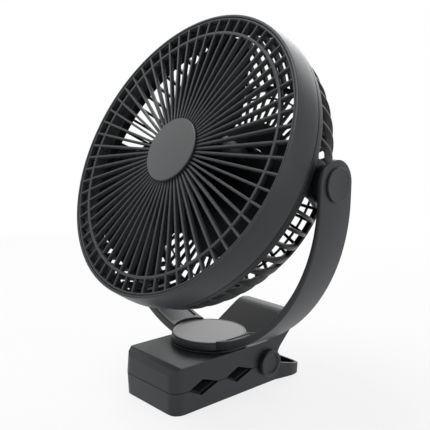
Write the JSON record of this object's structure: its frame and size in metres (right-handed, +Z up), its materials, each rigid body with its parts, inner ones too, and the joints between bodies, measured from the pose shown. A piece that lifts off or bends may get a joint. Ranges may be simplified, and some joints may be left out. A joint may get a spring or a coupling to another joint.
{
  "type": "clip fan",
  "caption": "Rechargeable clip fan: a round caged fan head tilts in a C-shaped yoke that swivels on a spring clip with diamond-shaped grip channels.",
  "frame": {"origin": "on the swivel axis, in the plane of the clip's flat underside", "axes": "+X to the right as seen from the front, +Y towards the clip's handles, +Z up; the fan blows towards -Y and upwards"},
  "size_m": [0.2326, 0.1549, 0.278],
  "materials": {
    "shell": "fine matte charcoal moulding",
    "grille": "satin charcoal moulding",
    "satin_disc": "satin grey moulding",
    "dark_plastic": "dark matte moulding",
    "blade": "satin dark moulding",
    "rubber": "soft black rubber",
    "steel": "plain steel",
    "brass": "plain",
    "magnet": "plain",
    "winding": "enamelled wire",
    "board": "circuit board",
    "foil": "foil pouch",
    "lens": "clear lens"
  },
  "bodies": {
    "lower_jaw": {"lower_jaw_shell": "shell", "lower_grip_pad": "rubber", "hinge_pin": "steel", "pin_cap_right": "shell", "pin_cap_left": "shell", "clip_spring": "steel"},
    "upper_jaw": {"upper_jaw_shell": "shell", "top_cover": "shell", "upper_grip_pad": "rubber", "battery_pack": "foil", "charge_board": "board", "charge_port": "steel", "charge_light": "lens", "turntable_base": "dark_plastic", "swivel_washer": "steel", "swivel_screw": "steel"},
    "yoke": {"yoke_frame": "shell", "yoke_liner_right": "shell", "yoke_liner_left": "shell", "yoke_cap_right": "shell", "yoke_cap_left": "shell", "swivel_cover": "satin_disc"},
    "head": {"front_grille": "grille", "front_ring": "shell", "hub_badge": "satin_disc", "rear_basket": "dark_plastic", "motor_housing": "shell", "motor_board": "board", "motor_stator": "winding", "bearing_sleeve": "brass", "pivot_boss_right": "dark_plastic", "pivot_screw_right": "steel", "pivot_washer_right": "rubber", "pivot_boss_left": "dark_plastic", "pivot_screw_left": "steel", "pivot_washer_left": "rubber"},
    "rotor": {"fan_blades": "blade", "rotor_cup": "steel", "rotor_magnet": "magnet", "motor_shaft": "steel", "blade_nut": "dark_plastic"},
    "button": {"power_button": "satin_disc"}
  },
  "joints": [
    {"name": "clip_open", "type": "hinge", "parent": "lower_jaw", "child": "upper_jaw", "pos_m": [0, 0.0338, 0.0173], "axis": [-1, 0, 0], "range_deg": [0, 30], "stiffness_Nm_per_rad": 1.2, "springref_deg": -51.57, "deforming": ["clip_spring"]},
    {"name": "swivel", "type": "hinge", "parent": "upper_jaw", "child": "yoke", "pos_m": [0, 0, 0.0363], "axis": [0, 0, 1], "range_deg": [-180, 180]},
    {"name": "tilt", "type": "hinge", "parent": "yoke", "child": "head", "pos_m": [0, 0, 0.1645], "axis": [-1, 0, 0], "range_deg": [-115, 65]},
    {"name": "spin", "type": "hinge", "parent": "head", "child": "rotor", "pos_m": [0, 0, 0.1645], "axis": [0, -0.9063, 0.4226], "continuous": true},
    {"name": "power_press", "type": "slide", "parent": "head", "child": "button", "axis": [0, -0.9063, 0.4226], "range_m": [0, 0.0012], "stiffness_N_per_m": 300, "springref_m": -0.001}
  ]
}
